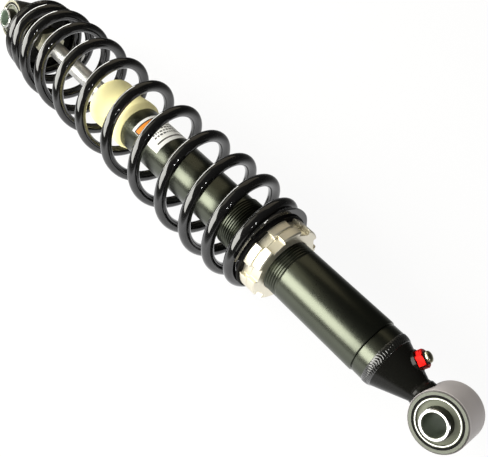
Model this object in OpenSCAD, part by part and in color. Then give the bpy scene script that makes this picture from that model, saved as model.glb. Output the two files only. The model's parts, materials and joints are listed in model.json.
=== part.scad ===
// Coil-over gas shock absorber with threaded preload adjustment, eye to eye along +Z.
// The origin is the centre of the lower eye bore and the lower eye axis lies along Y.

/* [Body tube] */
// Outside diameter of the threaded lower part of the body
body_od = 40; // [36:0.5:44]
// Wall of the threaded lower part of the body
body_wall = 4; // [3.5:0.1:5]
// Height where the body starts above the lower eye
body_bottom = 58.2; // [56:0.5:62]
// Height where the body ends
body_top = 315; // [305:1:320]
// Height where the threads begin
thread_bottom = 127; // [120:1:130]
// Height where the threads end
thread_top = 190; // [182:1:195]
// Pitch of the body thread; above it the body is turned down to the thread's root
thread_pitch = 2; // [1.5:0.25:2.5]

/* [Lower end] */
// Diameter of the end collar below the body
collar_od = 38.4; // [36:0.2:39]
// Height of the visible part of the end collar
collar_height = 12.2; // [10:0.2:13]
// Largest diameter of the cone
cone_od = 36.6; // [34:0.2:38]
// Height on the Z axis where the cone meets its neck
neck_top = 21; // [20:0.5:23]
// Diameter of the neck
neck_od = 18; // [17:0.2:20]

/* [Eyes] */
// Outside diameter of both eye barrels
eye_od = 36; // [34:0.5:38]
// Length of both eye barrels
eye_length = 32; // [28:0.5:34]
// Bore of both eye barrels
eye_bore = 30.6; // [29.5:0.1:31.5]
// Distance between the two eye centres
eye_to_eye = 510; // [500:1:520]
// Turn of the upper eye about the rod, in degrees
upper_eye_turn = -8; // [-20:1:20]
// Wall of the black liner in the eye
liner_wall = 1.5; // [1:0.1:2]
// Wall of the steel bush shell
shell_wall = 0.8; // [0.6:0.1:1.2]
// How far the rubber is set back from the barrel face
rubber_recess = 2; // [1:0.5:3]
// Outside diameter of the inner sleeve
sleeve_od = 18.4; // [17:0.2:20]
// Length of the inner sleeve
sleeve_length = 45.4; // [40:0.2:50]
// Bolt bore of the inner sleeve
bolt_bore = 14; // [12:0.1:15]

/* [Gas valve] */
// Direction of the valve about Z, in degrees from +X
valve_azimuth = 3; // [-180:1:180]
// How far the valve leans down from level, in degrees
valve_tilt = 27; // [24:1:30]
// Height where the valve axis meets the Z axis
valve_height = 38.7; // [38.2:0.1:39.2]
// Distance along the valve axis to the face of the boss
valve_reach = 15.6; // [15.3:0.1:16.2]
// Diameter of the boss that carries the valve
boss_od = 14; // [13:0.5:15]
// Diameter of the spot face milled around the valve
spot_od = 17; // [16:0.5:18]
// Width across the flats of the valve hexagon
valve_hex = 10.6; // [10:0.2:11]
// Turn of the hexagon about the valve axis, in degrees
valve_hex_turn = 8; // [0:1:59]
// Length of the hexagon
valve_hex_length = 5; // [4:0.2:6]
// Diameter of the valve cap
valve_cap_od = 7.4; // [7:0.2:8.4]
// Height of the valve cap
valve_cap_height = 2.8; // [2.4:0.2:4]

/* [Spring] */
// Inside diameter of the spring's middle coils
spring_bore = 64.5; // [63:0.5:66]
// Inside diameter of the end coils, drawn in to sit on the ring
end_bore = 54; // [53:0.5:56]
// Wire diameter
wire_d = 9; // [8:0.25:9.5]
// Number of coils, closed ends included
spring_turns = 12.3; // [12:0.1:12.6]
// How much closer the coils are near the ends, as a share of the mean pitch
pitch_spread = 0.27; // [0:0.01:0.35]
// Direction of the lower wire tip about Z, in degrees from +X
spring_tip = -105; // [-180:1:180]

/* [Preload rings] */
// Outside diameter of the two rings
ring_od = 59.2; // [57:0.2:60]
// Height of each ring
ring_height = 7.5; // [6:0.25:8]
// Height of the lower face of the lock ring
ring_bottom = 138.3; // [137:0.1:141]
// Number of spanner slots in each ring
ring_slots = 7; // [6:1:8]
// Width of a spanner slot
slot_width = 10.5; // [8:0.5:12]
// Depth of a spanner slot
slot_depth = 3.6; // [2.5:0.1:4]
// Turn of the slots in the adjuster ring, in degrees
adjuster_turn = -11; // [-25:1:25]
// Turn of the slots in the lock ring, in degrees
lock_turn = -6; // [-25:1:25]
// Thickness of the slip washer under the spring
washer_height = 1.5; // [1:0.1:2]

/* [Rod and piston] */
// Rod diameter
rod_d = 15; // [14:0.25:16]
// Height of the lower end of the rod
rod_bottom = 240; // [238:1:242]
// Height of the piston
piston_height = 14; // [12:0.5:16]
// Rest height of the top of the floating piston
floating_top = 134; // [130:1:140]
// Height of the floating piston
floating_height = 16; // [14:0.5:18]
// Outside diameter of the bump stop
bump_od = 43.6; // [42:0.2:46]
// Height of the bump stop
bump_height = 46.7; // [44:0.1:46.7]
// Depth of the waist between its two lobes
bump_waist = 1.8; // [1:0.1:3]

/* [Upper seat] */
// Distance from the spring's upper face up to the upper eye's middle
seat_drop = 34.5; // [33:0.5:34.5]
// Thickness of the upper spring seat
seat_height = 5; // [4.5:0.25:5]
// Outside diameter of the upper spring seat
seat_od = 71; // [70:0.5:74]
// Depth of the pilot that centres the spring
pilot_depth = 4; // [3:0.5:5]
// How far the stem reaches below the spring's upper face
stem_drop = 5.5; // [5.2:0.1:5.5]
// Diameter of the stem on the upper eye
stem_od = 24; // [22:0.5:24]
// Width across the flats of the jam nut
jam_nut_size = 24; // [22:0.5:25]
// Height of the jam nut
jam_nut_height = 8; // [7:0.5:9]

/* [Hidden] */
$fn = 96;
press_gap = 0.02;
slide_gap = 0.05;
turn_gap = 0.05;
edge = 1;
body_r = body_od / 2;
bore_r = body_r - body_wall;
upper_r = body_r - thread_pitch / 2;
rod_r = rod_d / 2;
eye_r = eye_od / 2;
sleeve_r = sleeve_od / 2;
liner_r = eye_bore / 2 - liner_wall;
rubber_r = liner_r - shell_wall;
// Lower end
collar_bottom = body_bottom - collar_height;
spigot_height = 9;
weld_proud = 0.6;
cone_shoulder = collar_bottom - 2.5;
neck_fillet = 1;
vee_r = collar_od / 2 - 3.2;
groove_depth = 1.7;
groove_height = 2.6;
passage_r = 1.5;
passage_drop = 4;
socket_depth = 9;
cap_seal_height = 0.8;
socket_r = valve_hex / 2 - 1.8;
valve_core_r = 2;
// Head of the body
guide_height = 24;
guide_top = body_top - 4;
guide_bottom = guide_top - guide_height;
circlip_height = 1.5;
seal_height = 6;
wiper_height = 4;
seal_wall = 4;
// Preload rings and spring
adjuster_bottom = ring_bottom + ring_height;
washer_bottom = adjuster_bottom + ring_height;
spring_bottom = washer_bottom + washer_height;
seat_bottom = eye_to_eye - seat_drop;
spring_top = seat_bottom;
coil_r = (spring_bore + wire_d) / 2;
end_coil_r = (end_bore + wire_d) / 2;
washer_od = ring_od + 3;
closed_turns = 1.2;
tuck_start = 0.8;
tuck_turns = 1.7;
closed_pitch = wire_d + 0.15;
tip_drop = wire_d / 4;
rings_per_turn = 20;
wire_sides = 12;
// Rod end
piston_r = bore_r - 0.1;
band_depth = 1.2;
band_margin = 3;
tail_r = rod_r * 0.62;
shim_height = 2.4;
nut_size = 17;
nut_height = 8;
piston_bottom = rod_bottom + nut_height + shim_height;
piston_top = piston_bottom + piston_height;
shoulder = piston_top + shim_height;
spacer_top = guide_bottom - 0.3;
stem_bottom = seat_bottom - stem_drop;
seat_top = seat_bottom + seat_height;
rod_top = eye_to_eye - eye_r - 2;
flange_height = 3;
flange_od = 34;
upper_neck_od = 26;

module tube(bottom, top, outer, inner) {
  translate([0, 0, bottom])
    difference() {
      cylinder(h = top - bottom, r = outer);
      translate([0, 0, -1]) cylinder(h = top - bottom + 2, r = inner);
    }
}

// A disc with both outer edges chamfered and a plain bore.
module chamfered_tube(bottom, top, outer, inner, cut) {
  rotate_extrude()
    polygon([[inner, bottom], [outer - cut, bottom], [outer, bottom + cut],
      [outer, top - cut], [outer - cut, top], [inner, top]]);
}

// Lays a child that runs along Z onto an eye axis.
module on_eye(height, turn) {
  translate([0, 0, height]) rotate([0, 0, turn]) rotate([90, 0, 0]) children();
}

module eye_barrel() {
  chamfered_tube(-eye_length / 2, eye_length / 2, eye_r, eye_bore / 2, edge);
}

module bush_liner() {
  length = eye_length - 1;
  tube(-length / 2, length / 2, eye_bore / 2 - press_gap, liner_r);
}

module bush_shell() {
  tube(-eye_length / 2, eye_length / 2, liner_r - press_gap, rubber_r);
}

module bush_rubber() {
  half = eye_length / 2 - rubber_recess;
  dish = 1.2;
  rotate_extrude()
    polygon([[sleeve_r + turn_gap, -half - dish], [rubber_r - press_gap, -half],
      [rubber_r - press_gap, half], [sleeve_r + turn_gap, half + dish]]);
}

module inner_sleeve() {
  half = sleeve_length / 2;
  cut = 0.8;
  inner = bolt_bore / 2;
  rotate_extrude()
    polygon([[inner + cut / 2, -half], [sleeve_r - cut, -half], [sleeve_r, -half + cut],
      [sleeve_r, half - cut], [sleeve_r - cut, half], [inner + cut / 2, half],
      [inner, half - cut / 2], [inner, -half + cut / 2]]);
}

module body_tube() {
  color([0.13, 0.13, 0.12])
    rotate_extrude()
      polygon([[bore_r, body_bottom], [body_r - edge, body_bottom], [body_r, body_bottom + edge],
        [body_r, thread_bottom], [body_r, thread_top], [upper_r, thread_top + body_r - upper_r],
        [upper_r, body_top - edge / 2], [upper_r - edge / 2, body_top], [bore_r, body_top]]);
}

module end_collar() {
  spigot_r = bore_r - press_gap;
  collar_r = collar_od / 2;
  seal_middle = body_bottom + spigot_height / 2;
  color([0.15, 0.15, 0.14])
    rotate_extrude()
      polygon([[passage_r, collar_bottom], [vee_r, collar_bottom], [collar_r, collar_bottom + 3],
        [collar_r, body_bottom - 1.5], [collar_r - 0.8, body_bottom - 1.5],
        [collar_r - 0.8, body_bottom], [spigot_r, body_bottom],
        [spigot_r, seal_middle - groove_height / 2],
        [spigot_r - groove_depth, seal_middle - groove_height / 2],
        [spigot_r - groove_depth, seal_middle + groove_height / 2],
        [spigot_r, seal_middle + groove_height / 2],
        [spigot_r, body_bottom + spigot_height], [passage_r, body_bottom + spigot_height]]);
}

module base_o_ring() {
  color([0.06, 0.06, 0.06])
    tube(body_bottom + spigot_height / 2 - groove_height / 2 + 0.1,
      body_bottom + spigot_height / 2 + groove_height / 2 - 0.1,
      bore_r - press_gap, bore_r - groove_depth);
}

// The weld fills the vee between the collar and the cone and stands proud as a bead.
module weld_bead() {
  root_r = vee_r + 0.1;
  crown_r = collar_od / 2 + weld_proud / 2;
  color([0.22, 0.21, 0.2])
    rotate_extrude()
      polygon([[root_r, collar_bottom], [collar_od / 2 + press_gap, collar_bottom + 3 + press_gap],
        [crown_r, collar_bottom + 2.2], [crown_r + weld_proud / 2, collar_bottom + 0.4],
        [crown_r - weld_proud / 3, collar_bottom - 1.4],
        [cone_od / 2 + press_gap, cone_shoulder + press_gap]]);
}

// Lays a child that runs along Z onto the leaning valve axis.
module valve_axis() {
  rotate([0, 0, valve_azimuth])
    translate([0, 0, valve_height]) rotate([0, 90 + valve_tilt, 0]) children();
}

// The cone widens from the neck to the weld; a spot face carries the valve and the
// passages behind it lead up to the gas chamber.
module lower_cone() {
  cone_r = cone_od / 2;
  neck_r = neck_od / 2;
  color([0.1, 0.1, 0.1])
    difference() {
      union() {
        rotate_extrude()
          polygon([[0, eye_r / 2], [neck_r + neck_fillet, eye_r / 2],
            [neck_r + neck_fillet, eye_r + 0.4], [neck_r + 0.2, eye_r + 1.6], [neck_r, neck_top],
            [cone_r, cone_shoulder], [vee_r, collar_bottom - press_gap],
            [0, collar_bottom - press_gap]]);
        valve_axis()
          translate([0, 0, valve_reach - socket_depth + 1])
            cylinder(h = socket_depth - 1 - press_gap, r = boss_od / 2);
      }
      on_eye(0, 0) cylinder(h = eye_length + 2, r = eye_r + press_gap, center = true);
      translate([0, 0, valve_height - passage_drop])
        cylinder(h = collar_bottom - valve_height + passage_drop + 1, r = passage_r);
      valve_axis() cylinder(h = valve_reach, r = passage_r - 0.4);
      valve_axis()
        translate([0, 0, valve_reach - socket_depth])
          cylinder(h = socket_depth + 1, r = socket_r);
      valve_axis() translate([0, 0, valve_reach]) cylinder(h = spot_od, r = spot_od / 2);
    }
}

module lower_eye_barrel() {
  color([0.45, 0.43, 0.44]) on_eye(0, 0) eye_barrel();
}

module lower_bush_liner() {
  color([0.03, 0.03, 0.03]) on_eye(0, 0) bush_liner();
}

module lower_bush_shell() {
  color([0.8, 0.8, 0.78]) on_eye(0, 0) bush_shell();
}

module lower_bush_rubber() {
  color([0.16, 0.15, 0.15]) on_eye(0, 0) bush_rubber();
}

module lower_sleeve() {
  color([0.72, 0.72, 0.7]) on_eye(0, 0) inner_sleeve();
}

// The hexagon screws into the boss and its bore holds the valve core.
module valve_body() {
  seat = valve_reach + press_gap;
  shank_bottom = valve_reach - socket_depth + 0.5;
  color([0.7, 0.05, 0.04])
    valve_axis()
      difference() {
        union() {
          translate([0, 0, shank_bottom])
            cylinder(h = seat - shank_bottom + 1, r = socket_r - press_gap);
          intersection() {
            translate([0, 0, seat])
              rotate([0, 0, valve_hex_turn])
                cylinder(h = valve_hex_length, d = valve_hex / cos(30), $fn = 6);
            translate([0, 0, seat])
              cylinder(h = valve_hex_length, d2 = valve_hex + 0.2, d1 = valve_hex + 2 * valve_hex_length);
          }
        }
        translate([0, 0, valve_reach - socket_depth])
          cylinder(h = socket_depth + valve_hex_length + 1, r = valve_core_r + 0.05);
      }
}

module valve_core() {
  color([0.75, 0.6, 0.25])
    valve_axis()
      translate([0, 0, valve_reach - socket_depth + 3])
        cylinder(h = socket_depth + valve_hex_length - 4, r = valve_core_r);
}

module valve_cap_seal() {
  bottom = valve_reach + valve_hex_length + 2 * press_gap;
  color([0.05, 0.05, 0.05])
    valve_axis() tube(bottom, bottom + cap_seal_height, valve_cap_od / 2 + 0.4, valve_core_r + 0.05);
}

module valve_cap() {
  base = valve_reach + valve_hex_length + cap_seal_height + 3 * press_gap;
  cap_r = valve_cap_od / 2;
  rim = valve_cap_height / 3;
  dome = valve_cap_height - rim;
  color([0.8, 0.8, 0.8])
    valve_axis()
      rotate_extrude()
        polygon(concat([[0, base], [cap_r, base], [cap_r, base + rim]],
          [for (i = [1:8]) [cap_r * cos(i * 90 / 8), base + rim + dome * sin(i * 90 / 8)]]));
}

module rod_guide() {
  outer = bore_r - press_gap;
  inner = rod_r + slide_gap;
  seal_r = rod_r + seal_wall;
  groove_middle = guide_bottom + guide_height / 2;
  color([0.6, 0.6, 0.6])
    rotate_extrude()
      polygon([[inner, guide_bottom], [outer, guide_bottom],
        [outer, groove_middle - groove_height / 2],
        [outer - groove_depth, groove_middle - groove_height / 2],
        [outer - groove_depth, groove_middle + groove_height / 2],
        [outer, groove_middle + groove_height / 2],
        [outer, guide_top - circlip_height - press_gap],
        [outer - 2, guide_top - circlip_height - press_gap], [outer - 2, guide_top],
        [seal_r, guide_top], [seal_r, guide_top - wiper_height - seal_height],
        [inner, guide_top - wiper_height - seal_height]]);
}

module guide_o_ring() {
  color([0.06, 0.06, 0.06])
    tube(guide_bottom + guide_height / 2 - groove_height / 2 + 0.1,
      guide_bottom + guide_height / 2 + groove_height / 2 - 0.1,
      bore_r - press_gap, bore_r - groove_depth);
}

module rod_seal() {
  bottom = guide_top - wiper_height - seal_height + press_gap;
  color([0.08, 0.08, 0.08])
    tube(bottom, bottom + seal_height - 0.1, rod_r + seal_wall - press_gap, rod_r + slide_gap);
}

module rod_wiper() {
  color([0.5, 0.08, 0.05])
    tube(guide_top - wiper_height + press_gap, guide_top, rod_r + seal_wall - press_gap,
      rod_r + slide_gap);
}

module guide_circlip() {
  gap = 6;
  color([0.35, 0.35, 0.37])
    difference() {
      tube(guide_top - circlip_height, guide_top, bore_r - press_gap, bore_r - 2 + press_gap);
      translate([0, -gap / 2, guide_top - circlip_height - 1]) cube([body_od, gap, 4]);
    }
}

// Two rounded lobes with a shallow waist between them; the lower edge is bevelled
// down to the body and the upper end is a dome.
module bump_stop() {
  outer = bump_od / 2;
  inner = rod_r + 0.2;
  bevel = 4.5;
  dome = 6.5;
  steps = 12;
  bottom = body_top + press_gap;
  top = bottom + bump_height;
  waist_length = bump_height - bevel - dome;
  color([0.88, 0.83, 0.6])
    rotate_extrude()
      polygon(concat([[inner, bottom], [upper_r + 0.2, bottom], [outer - 0.8, bottom + bevel * 0.6]],
        [for (i = [0:steps]) [outer - bump_waist * pow(sin(i * 180 / steps), 3),
          bottom + bevel + waist_length * i / steps]],
        [for (i = [1:6]) [outer - dome * (1 - cos(i * 15)), top - dome + dome * sin(i * 15)]],
        [[inner, top]]));
}

module floating_piston() {
  bottom = floating_top - floating_height;
  middle = floating_top - floating_height / 2;
  outer = bore_r - slide_gap;
  color([0.7, 0.65, 0.5])
    rotate_extrude()
      polygon([[0, bottom + 6], [outer - 5, bottom + 6], [outer - 3, bottom], [outer, bottom],
        [outer, middle - groove_height / 2], [outer - groove_depth, middle - groove_height / 2],
        [outer - groove_depth, middle + groove_height / 2], [outer, middle + groove_height / 2],
        [outer, floating_top], [0, floating_top]]);
}

module floating_piston_ring() {
  middle = floating_top - floating_height / 2;
  color([0.06, 0.06, 0.06])
    tube(middle - groove_height / 2 + 0.1, middle + groove_height / 2 - 0.1,
      bore_r - slide_gap / 2, bore_r - groove_depth);
}

module piston_rod() {
  color([0.85, 0.85, 0.83])
    rotate_extrude()
      polygon([[0, rod_bottom - 2], [tail_r - 0.8, rod_bottom - 2], [tail_r, rod_bottom - 1.2],
        [tail_r, shoulder], [rod_r, shoulder], [rod_r, rod_top - 1.5], [rod_r - 1.5, rod_top],
        [0, rod_top]]);
}

module piston() {
  ports = 6;
  color([0.62, 0.6, 0.55])
    difference() {
      tube(piston_bottom, piston_top - press_gap, piston_r, tail_r + press_gap);
      tube(piston_bottom + band_margin, piston_top - band_margin, piston_r + 1,
        piston_r - band_depth);
      for (i = [0:ports - 1])
        rotate([0, 0, i * 360 / ports]) translate([tail_r + 4.6, 0, piston_bottom - 1])
          cylinder(h = piston_height + 2, r = 1.6);
    }
}

module piston_band() {
  color([0.35, 0.22, 0.1])
    tube(piston_bottom + band_margin + press_gap, piston_top - band_margin - press_gap,
      bore_r - slide_gap, piston_r - band_depth + press_gap);
}

// Four discs that grow towards the piston.
module shim_stack(start, step) {
  count = 4;
  for (i = [0:count - 1])
    translate([0, 0, start + step * (i + 0.5) * shim_height / count])
      difference() {
        cylinder(h = shim_height / count, r = tail_r + 6.4 - i * 0.9, center = true);
        cylinder(h = shim_height, r = tail_r + press_gap, center = true);
      }
}

module compression_shims() {
  color([0.7, 0.7, 0.72]) shim_stack(piston_top, 1);
}

module rebound_shims() {
  color([0.7, 0.7, 0.72]) shim_stack(piston_bottom - press_gap, -1);
}

module piston_nut() {
  color([0.6, 0.6, 0.55])
    difference() {
      translate([0, 0, rod_bottom - 2 * press_gap])
        cylinder(h = nut_height, d = nut_size / cos(30), $fn = 6);
      translate([0, 0, rod_bottom - 1]) cylinder(h = nut_height + 2, r = tail_r + press_gap);
    }
}

// Stops the piston against the guide at full extension.
module rebound_spacer() {
  color([0.15, 0.15, 0.16])
    tube(shoulder + 1.5, spacer_top, rod_r + 4, rod_r + press_gap);
}

module jam_nut() {
  color([0.8, 0.76, 0.62])
    difference() {
      intersection() {
        translate([0, 0, stem_bottom - jam_nut_height])
          cylinder(h = jam_nut_height - press_gap, d = jam_nut_size / cos(30), $fn = 6);
        translate([0, 0, stem_bottom - jam_nut_height])
          cylinder(h = jam_nut_height, d1 = jam_nut_size, d2 = jam_nut_size + 4 * jam_nut_height);
      }
      translate([0, 0, stem_bottom - jam_nut_height - 1])
        cylinder(h = jam_nut_height + 2, r = rod_r + press_gap);
    }
}

// The stem carries the spring seat and takes the rod in a deep threaded socket.
module upper_eye_barrel() {
  stem_r = stem_od / 2;
  color([0.12, 0.12, 0.12])
    difference() {
      union() {
        on_eye(eye_to_eye, upper_eye_turn) eye_barrel();
        rotate_extrude()
          polygon([[0, stem_bottom], [stem_r - 1, stem_bottom], [stem_r, stem_bottom + 1],
            [stem_r, seat_top + turn_gap], [flange_od / 2, seat_top + turn_gap],
            [flange_od / 2, seat_top + flange_height - 1],
            [upper_neck_od / 2, seat_top + flange_height + 2],
            [upper_neck_od / 2, eye_to_eye - eye_r * 0.6], [0, eye_to_eye - eye_r * 0.6]]);
      }
      on_eye(eye_to_eye, upper_eye_turn)
        cylinder(h = eye_length + 2, r = eye_bore / 2, center = true);
      translate([0, 0, stem_bottom - 1]) cylinder(h = rod_top - stem_bottom + 1.5, r = rod_r + press_gap);
    }
}

module upper_bush_liner() {
  color([0.03, 0.03, 0.03]) on_eye(eye_to_eye, upper_eye_turn) bush_liner();
}

module upper_bush_shell() {
  color([0.8, 0.8, 0.78]) on_eye(eye_to_eye, upper_eye_turn) bush_shell();
}

module upper_bush_rubber() {
  color([0.16, 0.15, 0.15]) on_eye(eye_to_eye, upper_eye_turn) bush_rubber();
}

module upper_sleeve() {
  color([0.72, 0.72, 0.7]) on_eye(eye_to_eye, upper_eye_turn) inner_sleeve();
}

module upper_spring_seat() {
  inner = stem_od / 2 + turn_gap;
  outer = seat_od / 2;
  pilot_r = end_bore / 2 - 0.6;
  color([0.14, 0.14, 0.13])
    rotate_extrude()
      polygon([[inner, seat_bottom - pilot_depth], [pilot_r - 1.5, seat_bottom - pilot_depth],
        [pilot_r, seat_bottom - pilot_depth + 1.5], [pilot_r, seat_bottom], [outer, seat_bottom],
        [outer, seat_top - 1.5], [outer - 1.5, seat_top], [inner, seat_top]]);
}

// Height of the wire centre after a number of turns: closed ends rise one wire
// diameter a turn, and the open coils between them are widest in the middle.
function free_turns() = spring_turns - 2 * closed_turns;
function open_bottom() = spring_bottom - tip_drop + closed_pitch * closed_turns;
function open_top() = spring_top + tip_drop - closed_pitch * closed_turns;
function open_share(u) = u - pitch_spread * sin(360 * u) / (2 * PI);
function wire_height(turn) =
  turn < closed_turns ? spring_bottom - tip_drop + closed_pitch * turn :
  turn > spring_turns - closed_turns ? spring_top + tip_drop - closed_pitch * (spring_turns - turn) :
  open_bottom() + (open_top() - open_bottom()) * open_share((turn - closed_turns) / free_turns());
function clamp(value, low, high) = max(low, min(high, value));
// Radius of the wire centre: the end coils are drawn in to the seats.
function ease(s) = s * s * (3 - 2 * s);
function tuck(turn) = clamp((min(turn, spring_turns - turn) - tuck_start) / tuck_turns, 0, 1);
function wire_radius(turn) = end_coil_r + (coil_r - end_coil_r) * ease(tuck(turn));

// The wire is swept along the coil and both ends are ground flat on the seats.
module main_spring() {
  steps = ceil(spring_turns * rings_per_turn);
  wire_r = wire_d / 2;
  points = [for (i = [0:steps]) let (turn = spring_turns * i / steps, a = spring_tip + 360 * turn,
    h = wire_height(turn)) for (k = [0:wire_sides - 1]) let (b = 360 * (k + 0.5) / wire_sides,
    r = wire_radius(turn) + wire_r * cos(b)) [r * cos(a), r * sin(a),
    clamp(h + wire_r * sin(b), spring_bottom + 0.0005 * k, spring_top - 0.0005 * k)]];
  sides = [for (i = [0:steps - 1]) for (k = [0:wire_sides - 1]) let (n = (k + 1) % wire_sides,
    p = i * wire_sides) for (f = [[p + k, p + wire_sides + k, p + wire_sides + n],
    [p + k, p + wire_sides + n, p + n]]) f];
  start = [[for (k = [0:wire_sides - 1]) k]];
  finish = [[for (k = [wire_sides - 1:-1:0]) steps * wire_sides + k]];
  color([0.08, 0.08, 0.08]) polyhedron(points, concat(sides, start, finish), convexity = 20);
}

module spring_washer() {
  color([0.1, 0.1, 0.1])
    tube(washer_bottom + press_gap, spring_bottom, washer_od / 2, body_r + slide_gap);
}

// A ring nut with spanner slots milled along its rim.
module slotted_ring(bottom, turn) {
  difference() {
    chamfered_tube(bottom, bottom + ring_height, ring_od / 2, body_r + slide_gap, 0.8);
    for (i = [0:ring_slots - 1])
      rotate([0, 0, turn + i * 360 / ring_slots])
        translate([ring_od / 2 - slot_depth, -slot_width / 2, bottom - 1])
          cube([slot_depth + 1, slot_width, ring_height + 2]);
  }
}

module adjuster_ring() {
  color([0.8, 0.78, 0.72]) slotted_ring(adjuster_bottom, adjuster_turn);
}

module lock_ring() {
  color([0.82, 0.8, 0.75]) slotted_ring(ring_bottom - press_gap, lock_turn);
}

body_tube();
end_collar();
base_o_ring();
weld_bead();
lower_cone();
lower_eye_barrel();
lower_bush_liner();
lower_bush_shell();
lower_bush_rubber();
lower_sleeve();
valve_body();
valve_cap();
valve_cap_seal();
valve_core();
rod_guide();
guide_o_ring();
rod_seal();
rod_wiper();
guide_circlip();
bump_stop();
floating_piston();
floating_piston_ring();
piston_rod();
piston();
piston_band();
compression_shims();
rebound_shims();
piston_nut();
rebound_spacer();
jam_nut();
upper_eye_barrel();
upper_bush_liner();
upper_bush_shell();
upper_bush_rubber();
upper_sleeve();
upper_spring_seat();
main_spring();
spring_washer();
adjuster_ring();
lock_ring();
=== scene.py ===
import json
import math
import random

import bmesh
import bpy
from mathutils import Matrix, Vector

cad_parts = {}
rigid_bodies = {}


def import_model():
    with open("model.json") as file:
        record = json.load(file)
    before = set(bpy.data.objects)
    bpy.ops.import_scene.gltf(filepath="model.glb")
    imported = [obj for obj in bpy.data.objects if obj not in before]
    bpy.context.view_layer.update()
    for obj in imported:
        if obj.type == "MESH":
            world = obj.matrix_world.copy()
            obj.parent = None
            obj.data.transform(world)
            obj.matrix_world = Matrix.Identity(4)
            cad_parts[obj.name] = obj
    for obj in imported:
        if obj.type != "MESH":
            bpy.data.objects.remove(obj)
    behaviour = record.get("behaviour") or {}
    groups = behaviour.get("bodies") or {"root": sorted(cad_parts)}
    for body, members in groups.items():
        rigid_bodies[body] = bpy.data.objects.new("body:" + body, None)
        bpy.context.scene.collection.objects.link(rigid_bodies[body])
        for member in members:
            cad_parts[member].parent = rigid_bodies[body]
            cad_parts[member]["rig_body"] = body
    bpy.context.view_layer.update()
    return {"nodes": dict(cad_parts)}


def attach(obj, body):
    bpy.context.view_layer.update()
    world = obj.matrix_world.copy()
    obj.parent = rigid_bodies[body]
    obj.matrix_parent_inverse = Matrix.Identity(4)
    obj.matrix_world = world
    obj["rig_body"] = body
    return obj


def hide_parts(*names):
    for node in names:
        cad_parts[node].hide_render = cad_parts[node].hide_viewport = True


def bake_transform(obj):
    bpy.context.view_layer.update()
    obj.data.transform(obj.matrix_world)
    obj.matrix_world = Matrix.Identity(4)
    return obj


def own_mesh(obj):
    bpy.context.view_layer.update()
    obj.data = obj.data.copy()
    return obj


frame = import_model()
print("frame loaded:", len(frame["nodes"]), "nodes")


# a shader socket that can be added, scaled and compared
class Sock:
    def __init__(self, shader, socket):
        self.shader, self.socket = shader, socket

    def maths(self, operation, a, b=None):
        inputs = {0: a} if b is None else {0: a, 1: b}
        return self.shader.add("ShaderNodeMath", {"operation": operation}, inputs)

    def __add__(self, other): return self.maths("ADD", self, other)
    def __radd__(self, other): return self.maths("ADD", other, self)
    def __sub__(self, other): return self.maths("SUBTRACT", self, other)
    def __rsub__(self, other): return self.maths("SUBTRACT", other, self)
    def __mul__(self, other): return self.maths("MULTIPLY", self, other)
    def __rmul__(self, other): return self.maths("MULTIPLY", other, self)
    def __gt__(self, other): return self.maths("GREATER_THAN", self, other)
    def __lt__(self, other): return self.maths("LESS_THAN", self, other)
    def __abs__(self): return self.maths("ABSOLUTE", self)


class Shader:
    def __init__(self, name):
        self.material = bpy.data.materials.new(name)
        self.material.use_nodes = True
        self.tree = self.material.node_tree
        self.tree.nodes.clear()
        self.coord = self.add("ShaderNodeTexCoord", {}, {}, "Object")

    def add(self, kind, settings=None, inputs=None, out=0):
        node = self.tree.nodes.new(kind)
        for key, value in (settings or {}).items():
            if key == "stops":  # a ramp's stops: (place, colour) pairs
                ramp = node.color_ramp
                for i, (place, colour) in enumerate(value):
                    stop = ramp.elements[i] if i < 2 else ramp.elements.new(place)
                    stop.position, stop.color = place, (*colour, 1)
            else:
                setattr(node, key, value)
        for key, value in (inputs or {}).items():
            if isinstance(value, Sock):
                self.tree.links.new(value.socket, node.inputs[key])
            else:
                node.inputs[key].default_value = value
        return Sock(self, node.outputs[out])

    def noise(self, scale, detail, rough):
        return self.add("ShaderNodeTexNoise", {}, {"Vector": self.coord, "Scale": scale,
                        "Detail": detail, "Roughness": rough})

    def ramp(self, value, stops):
        return self.add("ShaderNodeValToRGB", {"stops": stops}, {0: value})

    def split(self, axis):
        return self.add("ShaderNodeSeparateXYZ", {}, {"Vector": self.coord}, axis)

    def mix(self, factor, a, b):
        one = (*a, 1) if isinstance(a, tuple) else a
        two = (*b, 1) if isinstance(b, tuple) else b
        return self.add("ShaderNodeMix", {"data_type": "RGBA"}, {0: factor, 6: one, 7: two}, 2)

    def blendShaders(self, factor, a, b):
        return self.add("ShaderNodeMixShader", {}, {0: factor, 1: a, 2: b})

    def bump(self, height, strength, distance):
        return self.add("ShaderNodeBump", {}, {"Height": height, "Strength": strength,
                        "Distance": distance})

    def surface(self, **inputs):
        named = {key.replace("_", " "): value for key, value in inputs.items()}
        self.output(self.add("ShaderNodeBsdfPrincipled", {}, named))
        return self.material

    def output(self, shade):
        out = self.tree.nodes.new("ShaderNodeOutputMaterial")
        self.tree.links.new(shade.socket, out.inputs["Surface"])


# every mesh helper takes millimetres and makes metres
def makePiece(name, points, faces, material, sharp=35):
    shape = bmesh.new()
    corners = [shape.verts.new([value * 0.001 for value in point]) for point in points]
    for face in faces:
        shape.faces.new([corners[i] for i in face])
    bmesh.ops.remove_doubles(shape, verts=shape.verts, dist=2e-6)
    bmesh.ops.recalc_face_normals(shape, faces=shape.faces)
    mesh = bpy.data.meshes.new(name)
    shape.to_mesh(mesh)
    shape.free()
    return placePiece(name, mesh, material, sharp)


def placePiece(name, mesh, material, sharp):
    mesh.shade_smooth()
    mesh.set_sharp_from_angle(angle=math.radians(sharp))
    mesh.materials.clear()
    mesh.materials.append(material)
    piece = bpy.data.objects.new(name, mesh)
    bpy.context.collection.objects.link(piece)
    return piece


def polar(radius, angle, height):
    return (radius * math.cos(angle), radius * math.sin(angle), height)


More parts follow.
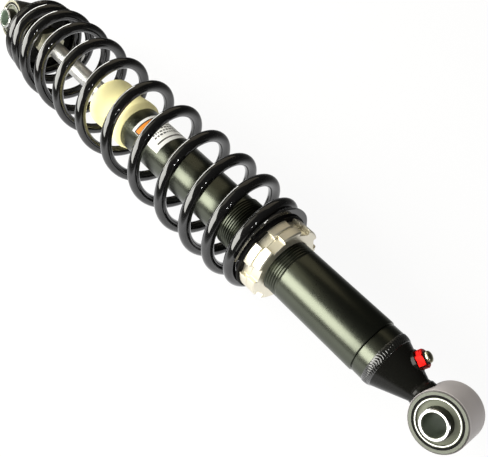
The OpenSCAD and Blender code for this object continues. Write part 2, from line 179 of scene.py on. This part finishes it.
# rows of points that each run once round Z; closed joins the last row to the first
def loft(rows, closed=False):
    count = len(rows[0])
    points = [point for row in rows for point in row]
    faces = []
    for i in range(len(rows) if closed else len(rows) - 1):
        for j in range(count):
            a, b = i * count + j, i * count + (j + 1) % count
            up = count if i < len(rows) - 1 else -i * count
            faces.append((a, b, b + up, a + up))
    return points, faces


def turned(profile, steps):
    turns = [2 * math.pi * j / steps for j in range(steps)]
    return [[polar(radius, angle, height) for angle in turns] for radius, height in profile]


# camera, floor and light, in metres
stage = {"lens": 45.83, "sensor": 36, "cameraAt": (0.149033, -0.365114, -0.027523),
         "right": (0.504060, 0.576924, -0.642715), "up": (0.795130, -0.019458, 0.606127),
         "shift": (0.00055, 0.0009), "middle": (0, 0, 0.22),
         "roomColour": (1, 0.98, 0.93), "room": 0.42, "mirrored": 0.03}
paper = {"normal": (0.753, -0.658, 0.0), "over": (0, 0, 0.25), "drop": 0.0416, "size": 8,
         "colour": (0.86, 0.86, 0.86), "glow": 0.9,  # glow: how much of it the camera sees as white
         "sheetHalf": 0.26, "paintedGlowBright": 2.4,  # the glowing sheet that metal and gloss mirror, a painted reflection
         "farSide": -0.4, "paintedGlowSide": -4, "dim": (0.03, 0.03, 0.03),
         "fade": ((0.0, 1.0), (0.06, 0.75), (0.12, 0.25), (0.22, 0.06), (1.0, 0.03))}
lamps = {  # place across, away and over the floor, size, brightness, colour
    "leftBox": ((-0.82, -0.32, 0.48), (1.5, 0.66), 8.0, (1, 0.99, 0.93)),
    "backBox": ((-0.62, 0.68, 0.17), (0.8, 0.26), 9.0, (1, 0.99, 0.93)),
    "topBox": ((-0.45, 0.2, 0.88), (0.6, 0.6), 0.7, (1, 0.95, 0.76)),
    "warmBox": ((0.1, 0.75, 0.65), (1.0, 0.8), 0.4, (1, 0.88, 0.66)),
    "firstBulb": ((0.46, -0.59, 0.30), (0.025, 0.025), 110.0, (1, 1, 1)),
    "secondBulb": ((0.53, -0.51, 0.31), (0.025, 0.025), 110.0, (1, 1, 1))}


def makeCamera():
    right, up = Vector(stage["right"]), Vector(stage["up"])
    turn = Matrix((right, up, right.cross(up))).transposed().to_4x4()
    data = bpy.data.cameras.new("camera")
    data.lens, data.sensor_width = stage["lens"], stage["sensor"]
    data.clip_start, data.clip_end = 0.01, 20
    data.shift_x, data.shift_y = stage["shift"]
    camera = bpy.data.objects.new("camera", data)
    camera.matrix_world = Matrix.Translation(stage["cameraAt"]) @ turn
    bpy.context.collection.objects.link(camera)
    bpy.context.scene.camera = camera


# a soft box that stands square to the floor and faces the strut's middle
def softBox(name, place, size, brightness, colour):
    over, across = Vector(paper["normal"]).normalized(), Vector(stage["right"])
    away, middle = over.cross(across), Vector(stage["middle"])
    data = bpy.data.lights.new(name, "AREA")
    data.shape, data.size, data.size_y = "RECTANGLE", size[0], size[1]
    data.energy, data.color = brightness * math.pi * size[0] * size[1], colour
    lamp = bpy.data.objects.new(name, data)
    spot = middle + across * place[0] + away * place[1] + over * place[2]
    facing = (spot - middle).normalized()
    side = over.cross(facing).normalized()
    turn = Matrix((side, facing.cross(side), facing)).transposed().to_4x4()
    lamp.matrix_world = Matrix.Translation(spot) @ turn
    bpy.context.collection.objects.link(lamp)


# the plain room lights the strut, gloss mirrors a dim one and the camera sees white
def makeRoom():
    world = bpy.data.worlds.new("studio")
    bpy.context.scene.world = world
    world.use_nodes = True
    nodes, links = world.node_tree.nodes, world.node_tree.links
    nodes.clear()
    ray = nodes.new("ShaderNodeLightPath")
    plain = nodes.new("ShaderNodeBackground")
    plain.inputs["Color"].default_value = (*stage["roomColour"], 1)
    plain.inputs["Strength"].default_value = stage["room"]
    shade = plain.outputs[0]
    for kind, strength in (("Is Glossy Ray", stage["mirrored"]),
                           ("Is Transmission Ray", stage["mirrored"]), ("Is Camera Ray", 1.0)):
        light = nodes.new("ShaderNodeBackground")
        light.inputs["Color"].default_value = (1, 1, 1, 1)
        light.inputs["Strength"].default_value = strength
        pick = nodes.new("ShaderNodeMixShader")
        links.new(ray.outputs[kind], pick.inputs[0])
        links.new(shade, pick.inputs[1])
        links.new(light.outputs[0], pick.inputs[2])
        shade = pick.outputs[0]
    links.new(shade, nodes.new("ShaderNodeOutputWorld").inputs["Surface"])


def makeFloor():
    normal = Vector(paper["normal"]).normalized()
    spot = Vector(paper["over"]) - normal * paper["drop"]
    bpy.ops.mesh.primitive_plane_add(size=paper["size"], location=spot)
    floor = bpy.context.object
    floor.name = "floor"
    floor.rotation_mode = "QUATERNION"
    floor.rotation_quaternion = normal.to_track_quat("Z", "Y")
    s = Shader("paper")
    camera, glossy, through = (s.add("ShaderNodeLightPath", {}, {}, name) for name in
                               ("Is Camera Ray", "Is Glossy Ray", "Is Transmission Ray"))
    under = s.add("ShaderNodeNewGeometry", {}, {}, "Backfacing")
    x, y = s.split("X"), s.split("Y")
    beyond = y.maths("MAXIMUM", abs(y) - paper["sheetHalf"], 0)
    aside = x.maths("MAXIMUM", x, x * paper["farSide"])  # the sheet reaches further on the lit side
    far = y.maths("SQRT", aside * aside + beyond * beyond)
    near = s.ramp(far, tuple((place, (value,) * 3) for place, value in paper["fade"]))
    sheet = s.add("ShaderNodeBsdfDiffuse", {}, {"Color": (*paper["colour"], 1)})
    dim = s.add("ShaderNodeBsdfDiffuse", {}, {"Color": (*paper["dim"], 1)})
    glow, bright = (s.add("ShaderNodeEmission", {}, {"Color": (1, 1, 1, 1), "Strength": strength})
                    for strength in (1.0, paper["paintedGlowBright"]))
    # painted glow, brighter towards the big lamp
    paintedGlowBySide = s.ramp(x * paper["paintedGlowSide"], ((0.2, (0, 0, 0)), (0.8, (1, 1, 1))))
    # painted reflection: glossy rays see the floor glow near the strut and a dark sheet further off
    mirrored = s.blendShaders(near, dim, s.blendShaders(paintedGlowBySide, glow, bright))
    plain = s.blendShaders(camera * paper["glow"], sheet, glow)
    lit = s.blendShaders(glossy + through, plain, mirrored)
    s.output(s.blendShaders(under, lit, s.add("ShaderNodeBsdfTransparent")))
    floor.data.materials.append(s.material)


bpy.context.scene.view_settings.view_transform = "Standard"
makeCamera()
makeRoom()
makeFloor()
for lampName, (place, size, brightness, colour) in lamps.items():
    softBox(lampName, place, size, brightness, colour)
print("camera, floor and lights set")

# what sets each finish apart; peel is the bump's scale and depth its height in metres
paints = {
    "springPaint": {"colour": (0.006, 0.006, 0.006), "rough": 0.1, "coat": 1.0, "coatRough": 0.03,
                    "shine": 0.05, "coatIndex": 1.68},
    "bodyPaint": {"colour": (0.105, 0.113, 0.088), "rough": 0.2, "coat": 0.0, "metallic": 1.0},
    "conePaint": {"colour": (0.006, 0.006, 0.005), "rough": 0.16, "coat": 0.14, "coatRough": 0.06,
                  "shine": 0.15},
    "weldPaint": {"colour": (0.008, 0.008, 0.007), "rough": 0.1, "peel": 500, "depth": 0.0004,
                  "coat": 1.0, "coatRough": 0.08},
    "creamFoam": {"colour": (0.88, 0.81, 0.42), "rough": 0.5, "peel": 900, "depth": 0.0001,
                  "coat": 0.0},
    "dustyRubber": {"colour": (0.14, 0.15, 0.11), "rough": 0.62, "peel": 900, "depth": 0.0001,
                    "coat": 0.0},
    "sealRubber": {"colour": (0.02, 0.02, 0.02), "rough": 0.6, "coat": 0.0},
    "linerNylon": {"colour": (0.004, 0.004, 0.004), "rough": 0.5, "coat": 0.0, "shine": 0.1},
    "bandPlastic": {"colour": (0.3, 0.17, 0.06), "rough": 0.5, "coat": 0.0},
    "stickerWhite": {"colour": (0.88, 0.88, 0.86), "rough": 0.3, "peel": 90, "depth": 0.00003},
    "stickerOrange": {"colour": (0.85, 0.27, 0.03), "rough": 0.3, "peel": 90, "depth": 0.00003},
    "stickerDark": {"colour": (0.03, 0.025, 0.02), "rough": 0.35, "peel": 90, "depth": 0.00003},
    "stickerGrey": {"colour": (0.05, 0.05, 0.048), "rough": 0.35, "peel": 90, "depth": 0.00003}}
metals = {
    "ringMetal": {"colour": (0.9, 0.85, 0.7), "rough": 0.26, "metallic": 0.88},
    "rodChrome": {"colour": (0.88, 0.88, 0.86), "rough": 0.27},
    "innerSteel": {"colour": (0.5, 0.5, 0.5), "rough": 0.3},
    "nutSteel": {"colour": (0.86, 0.83, 0.62), "rough": 0.2},
    "valveRed": {"colour": (0.6, 0.01, 0.008), "rough": 0.25},
    "valveBrass": {"colour": (0.7, 0.5, 0.2), "rough": 0.3},
    "capMetal": {"colour": (0.5, 0.48, 0.33), "rough": 0.2}}
metalGrain = {"scale": 900, "depth": 0.00002}


def tinted(colour, share):
    return tuple(value * share for value in colour)


def metalFinish(name, colour, rough, metallic=1.0):
    s = Shader(name)
    fine = s.noise(metalGrain["scale"], 3, 0.6)
    broad = s.noise(45, 3, 0.55)
    tint = s.mix(broad, tinted(colour, 0.9), tinted(colour, 1.08))
    return s.surface(Base_Color=tint, Metallic=metallic,
                     Roughness=broad * 0.12 + fine * 0.06 + rough,
                     Normal=s.bump(fine, 0.25, metalGrain["depth"]))


def paintFinish(name, colour, rough, peel=260, depth=0.00006, coat=0.3, coatRough=0.12,
                metallic=0.0, shine=0.5, coatIndex=1.5):
    s = Shader(name)
    peeling = s.noise(peel, 2, 0.4)
    broad = s.noise(30, 4, 0.6)
    speck = s.noise(1500, 2, 0.5)
    tint = s.mix(broad, tinted(colour, 0.85), tinted(colour, 1.15))
    return s.surface(Base_Color=tint, Roughness=broad * 0.1 + speck * 0.08 + rough,
                     Coat_Weight=coat, Coat_Roughness=coatRough, Metallic=metallic,
                     Specular_IOR_Level=shine, Coat_IOR=coatIndex,
                     Normal=s.bump(peeling, 0.3, depth))


# the two eyes with their bushes and sleeves: metres, and degrees for the turn
eyes = {"lower": {"name": "eyePaint", "height": 0.0, "turn": 0, "paint": (0.43, 0.4, 0.4),
                  "cut": (0.1, 0.105, 0.088), "rough": 0.36, "bore": (0.34, 0.38, 0.31)},
        "upper": {"name": "upperEyePaint", "height": 0.51, "turn": -8, "paint": (0.01, 0.01, 0.009),
                  "cut": (0.3, 0.29, 0.22), "rough": 0.25, "bore": (0.62, 0.7, 0.62)}}
bush = {"sleeve": (0.62, 0.62, 0.6), "boreEdge": 0.0073, "shadedWallFrom": 0.00905, "endFace": 0.0222,
        # painted shade: the two wall colours darken a sleeve's outer wall
        "wallShadeDark": (0.05, 0.05, 0.042), "wallShadePale": (0.09, 0.09, 0.075), "lipEdge": 0.01335,
        "shellDark": (0.07, 0.075, 0.06), "shellPale": (0.11, 0.115, 0.09),
        # painted shade: the colour at the edge is a dark line where an eye's side meets its face
        "rimFrom": 0.0152, "faceFrom": 0.01585, "rim": (0.02, 0.02, 0.018)}


# squared distance from an eye's axis
def offAxis(s, eye):
    turn = math.radians(eye["turn"])
    across = s.split("X") * math.cos(turn) + s.split("Y") * math.sin(turn)
    up = s.split("Z") - eye["height"]
    return across * across + up * up


# distance from an eye's middle along its axis
def alongAxis(s, eye):
    turn = math.radians(eye["turn"])
    return abs(s.split("Y") * math.cos(turn) - s.split("X") * math.sin(turn))


# bright end faces, a dull bore, and painted shade on the outer wall
def sleeveFinish(name, eye):
    s = Shader(name)
    out = offAxis(s, eye)
    bore = out < bush["boreEdge"] ** 2
    # the outer wall between the end faces, painted dark as shade
    shadedWall = (out > bush["shadedWallFrom"] ** 2) * (alongAxis(s, eye) < bush["endFace"])
    fine, broad = s.noise(metalGrain["scale"], 3, 0.6), s.noise(60, 3, 0.55)
    bright = s.mix(broad, tinted(bush["sleeve"], 0.9), bush["sleeve"])
    dull = s.mix(broad, tinted(eye["bore"], 0.85), tinted(eye["bore"], 1.15))
    wallShade = s.mix(broad, bush["wallShadeDark"], bush["wallShadePale"])
    return s.surface(Base_Color=s.mix(shadedWall, s.mix(bore, bright, dull), wallShade), Metallic=1.0,
                     Roughness=bore * 0.3 + shadedWall * 0.2 + broad * 0.1 + 0.2,
                     Normal=s.bump(fine, 0.25, metalGrain["depth"]))


# painted round the outside, machined on the two end faces, with a thin dark line of painted shade
# where they meet
def eyeFinish(name, eye):
    s = Shader(name)
    deep = alongAxis(s, eye)
    face = deep > bush["faceFrom"]
    # a thin band at the edge, painted dark as shade
    rim = (deep > bush["rimFrom"]) * (deep < bush["faceFrom"])
    broad, fine = s.noise(40, 4, 0.6), s.noise(1200, 3, 0.6)
    paint = s.mix(broad, tinted(eye["paint"], 0.85), tinted(eye["paint"], 1.15))
    cut = s.mix(broad, tinted(eye["cut"], 0.85), tinted(eye["cut"], 1.15))
    return s.surface(Base_Color=s.mix(face, s.mix(rim * 0.8, paint, bush["rim"]), cut),
                     Metallic=face * 0.9, Roughness=broad * 0.12 + fine * 0.06 + eye["rough"],
                     Normal=s.bump(fine, 0.3, 0.00004))


# the steel shell of a bush: dull, with a bright lip round the rubber
def shellFinish(name, eye):
    s = Shader(name)
    lip = offAxis(s, eye) < bush["lipEdge"] ** 2
    broad, fine = s.noise(60, 3, 0.55), s.noise(metalGrain["scale"], 3, 0.6)
    dull = s.mix(broad, bush["shellDark"], bush["shellPale"])
    return s.surface(Base_Color=s.mix(lip, dull, bush["sleeve"]), Metallic=1.0,
                     Roughness=broad * 0.1 + 0.24,
                     Normal=s.bump(fine, 0.25, metalGrain["depth"]))


finish = {name: paintFinish(name, **look) for name, look in paints.items()}
finish.update({name: metalFinish(name, **look) for name, look in metals.items()})
for end, eye in eyes.items():
    finish[end + "Eye"] = eyeFinish(eye["name"], eye)
    finish[end + "Shell"] = shellFinish(end + "ShellSteel", eye)
    finish[end + "Sleeve"] = sleeveFinish(end + "SleeveSteel", eye)

wears = {"springPaint": ("main_spring",), "bodyPaint": ("body_tube", "end_collar"),
         "conePaint": ("lower_cone", "upper_spring_seat"), "weldPaint": ("weld_bead",),
         "creamFoam": ("bump_stop",), "dustyRubber": ("lower_bush_rubber", "upper_bush_rubber"),
         "sealRubber": ("base_o_ring", "guide_o_ring", "rod_seal", "rod_wiper",
                        "floating_piston_ring", "valve_cap_seal"),
         "linerNylon": ("lower_bush_liner", "upper_bush_liner", "spring_washer", "rebound_spacer"),
         "bandPlastic": ("piston_band",), "ringMetal": ("adjuster_ring", "lock_ring"),
         "rodChrome": ("piston_rod",), "nutSteel": ("jam_nut",), "valveRed": ("valve_body",),
         "valveBrass": ("valve_core",), "capMetal": ("valve_cap",),
         "innerSteel": ("rod_guide", "guide_circlip", "floating_piston", "piston",
                        "compression_shims", "rebound_shims", "piston_nut"),
         "lowerEye": ("lower_eye_barrel",), "upperEye": ("upper_eye_barrel",),
         "lowerShell": ("lower_bush_shell",), "upperShell": ("upper_bush_shell",),
         "lowerSleeve": ("lower_sleeve",), "upperSleeve": ("upper_sleeve",)}
for name, nodes in wears.items():
    for node in nodes:
        mesh = frame["nodes"][node].data
        mesh.materials.clear()
        mesh.materials.append(finish[name])
print("finishes set")

# coil spring: widest pitch in the middle, closed ends drawn in to the seats
spring = {"turns": 12.3, "closedTurns": 1.2, "closedGap": 0.15, "spread": 0.27, "wire": 9.0,
          "bore": 64.5, "endBore": 54.0, "bottom": 154.8, "top": 475.5, "tip": -105.0,
          "tuckStart": 0.8, "tuckTurns": 1.7, "splitTurn": 217.0 / 360 + 3,
          "sides": 24, "stepsPerTurn": 56}


def coilHeight(turn):
    rise = spring["wire"] + spring["closedGap"]
    low = spring["bottom"] - spring["wire"] / 4 + rise * spring["closedTurns"]
    high = spring["top"] + spring["wire"] / 4 - rise * spring["closedTurns"]
    if turn < spring["closedTurns"]:
        return low - rise * (spring["closedTurns"] - turn)
    if turn > spring["turns"] - spring["closedTurns"]:
        return high + rise * (turn - spring["turns"] + spring["closedTurns"])
    u = (turn - spring["closedTurns"]) / (spring["turns"] - 2 * spring["closedTurns"])
    return low + (high - low) * (u - spring["spread"] * math.sin(2 * math.pi * u) / (2 * math.pi))


def coilRadius(turn):
    fromEnd = min(turn, spring["turns"] - turn)
    u = max(0.0, min(1.0, (fromEnd - spring["tuckStart"]) / spring["tuckTurns"]))
    inner, outer = ((spring[name] + spring["wire"]) / 2 for name in ("endBore", "bore"))
    return inner + (outer - inner) * u * u * (3 - 2 * u)


def coilPoint(turn):
    angle = math.radians(spring["tip"] + 360 * turn)
    return Vector(polar(coilRadius(turn), angle, coilHeight(turn)))


# the wire between two turns, ground flat where it meets the seats
def makeCoil(name, first, last):
    count = round((last - first) * spring["stepsPerTurn"])
    sides = spring["sides"]
    nudge = 0.004  # share of a turn, to find the wire's direction
    rings = []
    for i in range(count + 1):
        turn = first + (last - first) * i / count
        centre = coilPoint(turn)
        along = (coilPoint(turn + nudge) - coilPoint(turn - nudge)).normalized()
        out = Vector((centre.x, centre.y, 0)).normalized()
        over = along.cross(out).normalized()
        out = over.cross(along)
        ring = []
        for k in range(sides):
            angle = 2 * math.pi * k / sides
            point = centre + (out * math.cos(angle) + over * math.sin(angle)) * spring["wire"] / 2
            apart = 0.0004 * k  # keeps the points of a ground end from falling together
            point.z = max(spring["bottom"] + apart, min(spring["top"] - apart, point.z))
            ring.append(point)
        rings.append(ring)
    points, faces = loft(rings)
    end = len(points) - 1
    faces += [tuple(range(sides)), tuple(range(end, end - sides, -1))]
    return makePiece(name, points, faces, finish["springPaint"], 40)


splitHeight = coilHeight(spring["splitTurn"])
lowerCoil = makeCoil("lowerCoil", 0, spring["splitTurn"])
upperCoil = makeCoil("upperCoil", spring["splitTurn"], spring["turns"])
splitHeight * 0.001
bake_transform(lowerCoil)
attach(upperCoil, "damper_body")
splitHeight * 0.001
1 - 100 / (spring["top"] - splitHeight)
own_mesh(upperCoil)
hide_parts("main_spring")
print("spring wound in two lengths, split at", round(splitHeight, 1), "mm")

# body tube with its cut thread; the flats are shares of the pitch
tube = {"radius": 20.0, "root": 19.0, "bore": 16.0, "bottom": 58.2, "top": 315.0,
        "threadFrom": 127.0, "threadTo": 190.0, "pitch": 2.0, "runOut": 2, "steps": 120,
        "crestFlat": 0.14, "rootFlat": 0.12}


def makeTube():
    pitch, steps = tube["pitch"], tube["steps"]
    low, high = tube["threadFrom"] - tube["runOut"], tube["threadTo"] + tube["runOut"]
    half = 0.5 + tube["crestFlat"] / 2 - tube["rootFlat"] / 2
    marks = ((0, tube["radius"]), (tube["crestFlat"], tube["radius"]), (half, tube["root"]),
             (half + tube["rootFlat"], tube["root"]))
    count = (round((high - low) / pitch) + 2) * len(marks)
    points = []
    for i in range(count + 1):
        phase, cut = marks[i % len(marks)]
        for j in range(steps):
            height = low - pitch + pitch * (i // len(marks) + phase + j / steps)
            height = max(low, min(high, height))
            deepest = max(0.0, min(1.0, (height - tube["threadFrom"]) / tube["runOut"]))
            least = max(0.0, min(1.0, height - tube["threadTo"]))  # down to the upper tube
            radius = min(tube["radius"] - least, max(tube["radius"] - deepest, cut))
            points.append(polar(radius, 2 * math.pi * j / steps, height))
    faces = []
    for i in range(count):
        for j in range(steps):
            a, b = i * steps + j, i * steps + j + 1
            if j == steps - 1:  # one turn up, where the thread has risen by a pitch
                if i + len(marks) >= count:
                    continue
                b = (i + len(marks)) * steps
            faces.append((a, b, b + steps, a + steps))
    radius, root, bore = tube["radius"], tube["root"], tube["bore"]
    bottom, top = tube["bottom"], tube["top"]
    rest = turned(((radius, low), (radius, bottom + 1), (radius - 0.3, bottom + 0.3),
                   (radius - 1, bottom), (bore, bottom), (bore, top), (root - 0.5, top),
                   (root - 0.15, top - 0.15), (root, top - 0.5), (root, high)), steps)
    more, moreFaces = loft(rest)
    faces += [tuple(i + len(points) for i in face) for face in moreFaces]
    piece = makePiece("bodyTube", points + more, faces, finish["bodyPaint"], 24)
    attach(piece, "damper_body")
    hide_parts("body_tube")


makeTube()
print("body tube threaded")

# weld with its overlapping ripples
weld = {"ripples": 62, "low": 43.3, "high": 49.3, "coneRadius": 18.35, "collarRadius": 19.22,
        "inside": 17.0, "proud": 0.55, "ripple": 0.5, "trough": 0.6, "sweep": 0.9,
        "samples": 9, "rows": 14}


def makeWeld():
    dice = random.Random(7)
    lobes = [(dice.uniform(0.75, 1.1), dice.uniform(-0.12, 0.12)) for _ in range(weld["ripples"])]
    count = weld["ripples"] * weld["samples"]
    rows = []
    for i in range(weld["rows"] + 1):
        s = i / weld["rows"]
        base = weld["coneRadius"] + (weld["collarRadius"] - weld["coneRadius"]) * s
        crown = math.sqrt(max(0.0, 1 - (2 * s - 1) ** 2))
        row = []
        for j in range(count):
            phase = j / weld["samples"] + weld["sweep"] * (2 * s - 1) ** 2
            size, lean = lobes[int(phase) % weld["ripples"]]
            lobe = math.sqrt(max(0.0, 1 - (2 * (phase % 1) - 1) ** 2))
            radius = base + crown * (weld["proud"] + weld["ripple"] * (size * lobe - weld["trough"]))
            height = weld["low"] + (weld["high"] - weld["low"]) * s + lean * crown
            row.append(polar(radius, 2 * math.pi * j / count, height))
        rows.append(row)
    inner = turned(((weld["inside"], weld["high"]), (weld["inside"], weld["low"])), count)
    points, faces = loft(rows + inner, closed=True)
    piece = makePiece("weldRipples", points, faces, finish["weldPaint"], 50)
    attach(piece, "damper_body")
    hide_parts("weld_bead")


makeWeld()
print("weld laid")

# turned and milled parts: how far each one's edges are eased; corner and sharp are in degrees
eased = {"adjuster_ring": (0.35, "ringMetal"), "lock_ring": (0.35, "ringMetal"),
         "jam_nut": (0.25, "nutSteel"), "valve_body": (0.25, "valveRed")}
easing = {"segments": 2, "corner": 28, "sharp": 30, "flat": 1.0}


# a copy of a CAD node with its edges eased, which stands for the node
def easeEdges(node, width, material):
    mesh = frame["nodes"][node].data.copy()
    shape = bmesh.new()
    shape.from_mesh(mesh)
    bmesh.ops.remove_doubles(shape, verts=shape.verts, dist=1e-6)
    bmesh.ops.dissolve_limit(shape, angle_limit=math.radians(easing["flat"]), verts=shape.verts,
                             edges=shape.edges)
    shape.to_mesh(mesh)
    shape.free()
    piece = placePiece(node + ".eased", mesh, material, easing["sharp"])
    bevel = piece.modifiers.new("ease", "BEVEL")
    bevel.width, bevel.segments, bevel.limit_method = width * 0.001, easing["segments"], "ANGLE"
    bevel.angle_limit, bevel.use_clamp_overlap = math.radians(easing["corner"]), True
    bevel.harden_normals = True
    graph = bpy.context.evaluated_depsgraph_get()
    solid = bpy.data.meshes.new_from_object(piece.evaluated_get(graph))
    piece.modifiers.clear()
    piece.data = solid
    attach(piece, frame["nodes"][node]["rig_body"])
    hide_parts(node)


for node, (width, name) in eased.items():
    easeEdges(node, width, finish[name])
print("edges eased")

# sticker on the tube: a plain coloured block and plain bars; angles, then heights
label = {"radius": 19.0, "thick": 0.06, "step": 2.5, "sheet": (-84, 62, 270.8, 304.0),
         "block": (-79.5, -12, 295.4, 300.0), "edge": (3.4, 1.2), "rule": (-67, 8, 274.6, 276.0),
         "rows": (290.6, 287.4, 284.2, 281.0), "rowsFrom": -64, "rowsTo": 14, "barHalf": 0.8,
         "barLengths": (2.5, 7), "barGap": 3.0, "lifts": (0.02, 0.07, 0.14)}


# thin curved patches round Z: each is (first angle, last angle, low, high)
def makePatches(name, patches, lift, material):
    points, faces = [], []
    middle = label["radius"] + lift
    inside, outside = middle - label["thick"] / 2, middle + label["thick"] / 2
    for first, last, low, high in patches:
        steps = max(1, math.ceil((last - first) / label["step"]))
        start = len(points)
        for i in range(steps + 1):
            angle = math.radians(first + (last - first) * i / steps)
            points += [polar(inside, angle, low), polar(outside, angle, low),
                       polar(outside, angle, high), polar(inside, angle, high)]
        for i in range(steps):
            for j in range(4):
                a, b = start + i * 4 + j, start + i * 4 + (j + 1) % 4
                faces.append((a, b, b + 4, a + 4))
        faces += [tuple(start + j for j in (3, 2, 1, 0)),
                  tuple(start + steps * 4 + j for j in range(4))]
    piece = makePiece(name, points, faces, material)
    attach(piece, "damper_body")


def makeLabel():
    under, printed, over = label["lifts"]
    makePatches("sticker", [label["sheet"]], under, finish["stickerWhite"])
    first, last, low, high = label["block"]
    wide, tall = label["edge"]
    makePatches("stickerEdge", [(first - wide, last + wide, low - tall, high + tall)], printed,
                finish["stickerDark"])
    makePatches("stickerBlock", [label["block"]], over, finish["stickerOrange"])
    makePatches("stickerRule", [label["rule"]], printed, finish["stickerDark"])
    dice = random.Random(3)
    bars = []
    for row in label["rows"]:
        place = label["rowsFrom"] + dice.uniform(0, 3)
        while place < label["rowsTo"] - 2:
            length = min(dice.uniform(*label["barLengths"]), label["rowsTo"] - place)
            bars.append((place, place + length, row - label["barHalf"], row + label["barHalf"]))
            place += length + label["barGap"]
    makePatches("stickerBars", bars, printed, finish["stickerGrey"])


makeLabel()
print("sticker laid")
